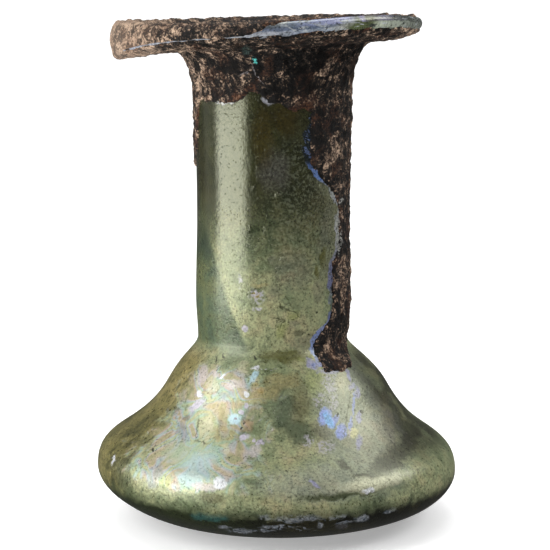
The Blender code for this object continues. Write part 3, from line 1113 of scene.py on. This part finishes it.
def crust_material():
    """Brown-black mineral crust of crumbs and granules, with pale flecks and rusty places."""
    c = Graph("burial_crust_skin")
    shaken = c.wobbled(800.0, 0.0016)
    crumbs = c.cells(900.0, shaken)
    cracks = c.cells(900.0, shaken, "DISTANCE_TO_EDGE")
    granule = c.noise(2600.0, 4.0, 0.65, 0.2)
    lump = c.noise(560.0, 5.0, 0.6, 0.6, c.stretched(1.0, 1.0, 1.15))
    broad = c.noise(150.0, 4.0, 0.55, 0.5)
    tone = c.times(granule, 0.55)
    tone = c.plus(tone, c.times(lump, 0.45))
    tone = c.plus(tone, c.around_half(crumbs.outputs["Color"], 0.15))
    tone = c.plus(tone, c.around_half(broad, 0.32))
    tone = c.plus(tone, c.times(c.attribute("pale"), 0.07))
    tone = c.minus(tone, c.band(cracks.outputs["Distance"], 0.10, 0.0, 0.0, 0.06))
    colour = c.tones(
        tone,
        (0.435, 14, 12, 11),
        (0.485, 30, 25, 21),
        (0.53, 64, 52, 43),
        (0.575, 118, 98, 82),
        (0.65, 188, 162, 138),
    )
    rust = c.times(c.band(c.noise(260.0, 4.0, 0.5, 0.4), 0.50, 0.64), c.attribute("rusty"))
    rusted = c.tones(granule, (0.40, 34, 20, 12), (0.60, 104, 62, 36))
    colour = c.mix(c.times(rust, 0.7), colour, rusted)
    softened = c.band(c.attribute("pale"), 0.6, 1.6, 0.0, 0.35)
    colour = c.mix(softened, colour, srgb(132, 114, 98))
    wander = c.wobbled(900.0, 0.0010)
    breaks = c.band(granule, 0.44, 0.54)
    for rows, tint, share, soft in (
        (CRUST_LINING, (158, 158, 152), 0.85, 0.4),
        (CRUST_CRACKS, (130, 126, 128), 0.75, 0.6),
        (CRUST_DIM_FLAKE, (60, 84, 78), 0.70, 0.4),
        (CRUST_FLAKE, (84, 186, 180), 1.00, 0.3),
    ):
        cover = c.times(c.marks(wander, rows, soft), breaks)
        colour = c.lay(cover, share, colour, tint)
    c.give("Base Color", colour)
    c.give("Roughness", c.band(tone, 0.4, 0.7, 0.7, 0.95))
    c.give("Specular IOR Level", CRUST_SPECULAR)
    c.give("Normal", c.bump(tone, CRUST_RELIEF, CRUST_RELIEF_STRENGTH))
    return c.material


def skin_values(radii, heights, angles, places, ring, outer_rings, lip_rings):
    """Where the skin of the glass changes, and where shade and a reflection are painted on it, as
    numbers for its vertices.
    """
    on_outside = (ring < outer_rings) * 1.0 + 0.0 * angles
    turn = np.mod(angles + math.pi, math.tau) - math.pi
    ragged = CRUST_RAGGED * field(places, *EDGE_NOISE)
    strip_edge = strip_left_angle(heights)
    gap = np.clip(((strip_edge - turn) * radii - ragged) / MILLIMETRE, 0.0, NO_GAP)
    beside_strip = (on_outside > 0.5) & (turn < strip_edge + 0.4) & (heights > CRUST_STRIP_FOOT + 0.0006)
    film = 1.0 - 0.95 * smooth(heights, *FILM_OUT)
    speckle = smooth(turn, -0.30, 0.3) * smooth(heights, *SPECKLE_IN) * fade(heights, *SPECKLE_OUT)
    arc_angle = ARC_FOOT_ANGLE - ARC_TURN * (heights - ARC_FOOT) / MILLIMETRE
    green_share = smooth(arc_angle - turn, -0.02, 0.06) * smooth(heights, *GREEN_IN)
    arc = bump(turn, arc_angle + 0.07, 0.05) * smooth(heights, *ARC_IN)
    left = bump(turn, math.radians(-32.0), math.radians(27.0))
    pearl = left * smooth(heights, *PEARL_IN) * fade(heights, *PEARL_OUT)
    # Painted shade on the bulb's right flank, where it mirrors dim surroundings
    painted_shade = smooth(turn, 0.75, 1.10) * fade(turn, 1.6, 2.2) * smooth(heights, *PAINTED_SHADE_IN)
    bare_lip = smooth(heights, FLARE_HEIGHT + 0.0006, FLARE_HEIGHT + 0.0014)
    return {
        "crust_gap": np.where(beside_strip, gap, NO_GAP),
        "film": np.where(on_outside > 0.5, film, 0.3),
        "speckle": speckle,
        "gold_share": smooth(-turn, 0.7, 1.1) * fade(-turn, 2.0, 3.0) * fade(heights, *GOLD_OUT),
        "green_share": green_share * fade(heights, *GREEN_OUT) * fade(-turn, 1.6, 2.0),
        "arc": 0.12 * arc * fade(heights, *ARC_OUT),
        "pearl": pearl * on_outside,
        # Painted reflection beside the strip on the neck's right
        "painted_reflection": smooth(turn, 0.0, 0.3) * smooth(heights, *PAINTED_REFLECTION_IN) * fade(heights, *PAINTED_REFLECTION_OUT),
        "painted_shade": painted_shade * fade(heights, *PAINTED_SHADE_OUT),
        "right_side": smooth(turn, -0.1, 0.1) * fade(turn, 3.0, 3.1),
        "violet": bare_lip * smooth(radii, 0.0255, 0.0265),
        "lip_level": np.clip((ring - outer_rings) / lip_rings, 0.0, 1.0) + 0.0 * angles,
    }


def make_glass():
    """The hollow glass, finely meshed on the same section as the solid."""
    outer = [(radius, height) for radius, height, wall in outside(3)]
    inner = inside(outside(1))
    lip = lip_points(outer[-1], inner[-1], GLASS_LIP_STEPS)
    profile = outer[1:] + lip + inner[:0:-1]
    radii, heights, angles, places = grid_of(profile, GLASS_SEGMENTS)
    rings = len(profile)
    vertices = places.reshape(-1, 3)
    faces = grid_faces(rings, GLASS_SEGMENTS)

    # Close the foot, outside and inside
    foot = len(vertices)
    vertices = np.vstack([vertices, [(0.0, 0.0, 0.0), (0.0, 0.0, inner[0][1])]])
    last = (rings - 1) * GLASS_SEGMENTS
    for segment in range(GLASS_SEGMENTS):
        after = (segment + 1) % GLASS_SEGMENTS
        faces.append((foot, after, segment))
        faces.append((last + segment, last + after, foot + 1))
    made = new_object("glass_vessel", vertices, faces, glass_material())
    ring = np.arange(rings)[:, None]
    skin = skin_values(radii, heights, angles, places, ring, len(outer) - 1, len(lip))
    for name, values in skin.items():
        write_attribute(made, name, np.append(values.ravel(), [values[0, 0], values[-1, 0]]))
    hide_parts("vessel")
    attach(made, "root")


def crust_depths(radii, heights, angles, turn, places, lip_share):
    """How far inside the crust each place is, and how far its skin stands off the glass."""
    reach = np.minimum(crust_reach(angles, radii, heights), 0.002)

    # The front of the lip is bare, and so is its lower arris on the left
    bare_from = LIP_BARE_FROM + LIP_BARE_TURN * np.clip(lip_share, 0.0, 1.0)
    along_front = np.minimum(turn - bare_from, LIP_BARE_TO - turn) * radii
    across_face = np.minimum(lip_share + 0.10, 0.86 - lip_share) * math.pi * 0.5 * RIM_THICKNESS
    patches = 0.0006 * field(places, *PATCH_NOISE)
    bare_face = np.minimum(along_front * 0.5, across_face) + patches
    on_arris = smooth(lip_share, -0.02, 0.02) * fade(lip_share, 0.07, 0.14)
    arris_front = smooth(turn, math.radians(-75.0), math.radians(-60.0)) * fade(turn, 0.0, 0.2)
    reach = np.minimum(reach, -2.0 * bare_face) - 0.004 * on_arris * arris_front

    # A ragged edge, then lumps and crumbs
    ragged = field(places, *EDGE_NOISE)
    behind = smooth(np.abs(turn), 1.7, 2.2)
    cover = smooth(reach + (CRUST_RAGGED + CRUST_RAGGED_BEHIND * behind) * ragged, -0.00035, 0.00025)
    lumps = field(places, *LUMP_NOISE, (1.0, 1.0, 0.85))
    crumbs = field(places, *CRUMB_NOISE)
    depth = CRUST_THICKNESS + CRUST_LUMPS * lumps + CRUST_CRUMBS * crumbs
    depth = np.clip(depth, CRUST_LEAST, CRUST_MOST)
    return reach, CRUST_SUNK + (depth - CRUST_SUNK) * cover


def crust_paleness(radii, heights, turn):
    """Paler on the lobe, under the tip and on the left flank, darkest in the middle of the flare."""
    pale = 1.6 * bump(turn, LOBE_ANGLE, math.radians(60.0)) * smooth(radii, 0.020, 0.024)
    pale = pale + 1.2 * bump(turn, math.radians(95.0), math.radians(35.0)) * smooth(radii, 0.019, 0.022)
    pale = pale + 0.1 * bump(turn, math.radians(-65.0), math.radians(30.0)) * fade(radii, 0.020, 0.024)
    pale = pale + 0.20 * fade(heights, 0.060, 0.070)
    return pale - 0.8 * bump(turn, math.radians(15.0), math.radians(42.0)) * fade(radii, 0.023, 0.026)


def make_crust():
    """The crust: a rough skin over the rim, the flare, the upper neck and the strip below."""
    outer = [(radius, height) for radius, height, wall in outside(4)]
    start = next(index for index, point in enumerate(outer) if point[1] > CRUST_STRIP_FOOT - MILLIMETRE)
    over = inside(outside(2))
    lip = lip_points(outer[-1], over[-1], CRUST_LIP_STEPS)
    over_top = [point for point in over[::-1] if point[1] > NECK_TOP_HEIGHT - 0.002 and point[0] > 0.010]
    profile = outer[start:] + lip + over_top
    radii, heights, angles, places = grid_of(profile, CRUST_SEGMENTS)
    turn = np.mod(angles + math.pi, math.tau) - math.pi

    # Normals of the smooth surface
    along = np.gradient(places, axis=0)
    around = np.roll(places, -1, axis=1) - np.roll(places, 1, axis=1)
    normals = np.cross(around, along)
    normals /= np.linalg.norm(normals, axis=-1, keepdims=True)

    ring = np.arange(len(profile))[:, None] + 0.0 * angles
    lip_share = (ring - (len(outer) - start)) / len(lip)
    reach, offset = crust_depths(radii, heights, angles, turn, places, lip_share)
    vertices = (places + normals * offset[..., None]).reshape(-1, 3)

    # Faces that lie wholly under the glass are left out
    shown = offset.ravel() > CRUST_HIDDEN
    faces = grid_faces(len(profile), CRUST_SEGMENTS)
    faces = [face for face in faces if any(shown[corner] for corner in face)]
    used = sorted({corner for face in faces for corner in face})
    order = {corner: place for place, corner in enumerate(used)}
    faces = [tuple(order[corner] for corner in face) for face in faces]
    made = new_object("burial_crust", vertices[used], faces, crust_material())

    edge = fade(reach, 0.0004, 0.0016)
    rusty = np.clip(0.45 + 0.9 * edge * smooth(heights, 0.068, 0.072), 0.0, 1.0)
    write_attribute(made, "pale", crust_paleness(radii, heights, turn).ravel()[used])
    write_attribute(made, "rusty", rusty.ravel()[used])
    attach(made, "root")


def make_floor():
    """A plain pale sweep: floor, curve and wall in one sheet."""
    width, front, back, bend, wall = 6.0, -4.0, 1.3, 0.5, 3.0
    line = [(front, 0.0), (-1.0, 0.0), (0.0, 0.0), (back - bend, 0.0)]
    for step in range(1, 25):
        turn = 0.5 * math.pi * step / 24
        line.append((back - bend + bend * math.sin(turn), bend * (1.0 - math.cos(turn))))
    line.append((back, wall))
    vertices = [(side * 0.5 * width, y, z) for y, z in line for side in (-1.0, 1.0)]
    faces = [(2 * i, 2 * i + 1, 2 * i + 3, 2 * i + 2) for i in range(len(line) - 1)]
    f = Graph("pale_floor")
    tone = f.noise(3.0, 3.0)
    pale = f.greys(tone, (0.3, 0.86), (0.7, 0.90))
    f.give("Base Color", pale)
    f.give("Roughness", FLOOR_ROUGHNESS)
    f.give("Specular IOR Level", FLOOR_SPECULAR)
    f.give("Emission Color", WHITE)
    f.give("Emission Strength", FLOOR_GLOW)
    floor = new_object("floor_sweep", vertices, faces, f.material)
    floor.visible_glossy = False


def area_light(name, place, target, wide, high, radiance):
    """A soft box of a given size and brightness, facing a target."""
    light = bpy.data.lights.new(name, "AREA")
    light.shape = "RECTANGLE"
    light.size = wide
    light.size_y = high
    light.energy = radiance * math.pi * wide * high
    made = bpy.data.objects.new(name, light)
    bpy.context.collection.objects.link(made)
    made.location = place
    direction = Vector(target) - Vector(place)
    made.rotation_euler = direction.to_track_quat("-Z", "Y").to_euler()


def around(angle, distance, height):
    """A place around the flask, at an angle from the front towards the right."""
    turn = math.radians(angle)
    return (distance * math.sin(turn), -distance * math.cos(turn), height)


def make_lights():
    """Tall soft boxes left and right, a broad one above, and dim air around."""
    area_light("left_low_box", around(-64.0, 0.17, 0.036), (0.0, 0.0, 0.036), 0.15, 0.07, 5.4)
    area_light("left_high_box", around(-67.0, 0.30, 0.26), (0.0, 0.0, 0.20), 0.28, 0.28, 4.4)
    area_light("left_back_box", around(-108.0, 0.30, 0.20), (0.0, 0.0, 0.20), 0.12, 0.40, 0.35)
    area_light("right_box", around(86.0, 0.40, 0.36), (0.0, 0.0, 0.05), 0.42, 0.24, 4.6)
    area_light("top_box", (0.0, 0.15, 0.80), (0.0, 0.0, 0.0), 0.55, 0.55, 1.4)
    area_light("front_box", (0.0, -0.62, 0.72), (0.0, 0.0, 0.05), 0.50, 0.30, 0.9)
    area_light("back_box", (0.0, 0.75, 1.5), (0.0, 0.8, 0.0), 2.0, 1.0, 2.2)
    world = bpy.data.worlds.new("studio")
    bpy.context.scene.world = world
    world.use_nodes = True
    background = world.node_tree.nodes["Background"]
    background.inputs["Color"].default_value = WHITE
    background.inputs["Strength"].default_value = AIR_GLOW


def make_camera():
    """The camera at the photograph's height, distance and pitch."""
    camera = bpy.data.cameras.new("photo_camera")
    camera.lens = CAMERA_LENS
    camera.sensor_width = SENSOR_WIDTH
    camera.shift_x = CAMERA_SHIFT
    made = bpy.data.objects.new("photo_camera", camera)
    bpy.context.collection.objects.link(made)
    made.location = (0.0, -CAMERA_DISTANCE, CAMERA_HEIGHT)
    made.rotation_euler = (0.5 * math.pi - CAMERA_PITCH, 0.0, 0.0)
    bpy.context.scene.camera = made


make_camera()
make_glass()
make_crust()
make_floor()
make_lights()
bpy.context.scene.view_settings.view_transform = "Standard"
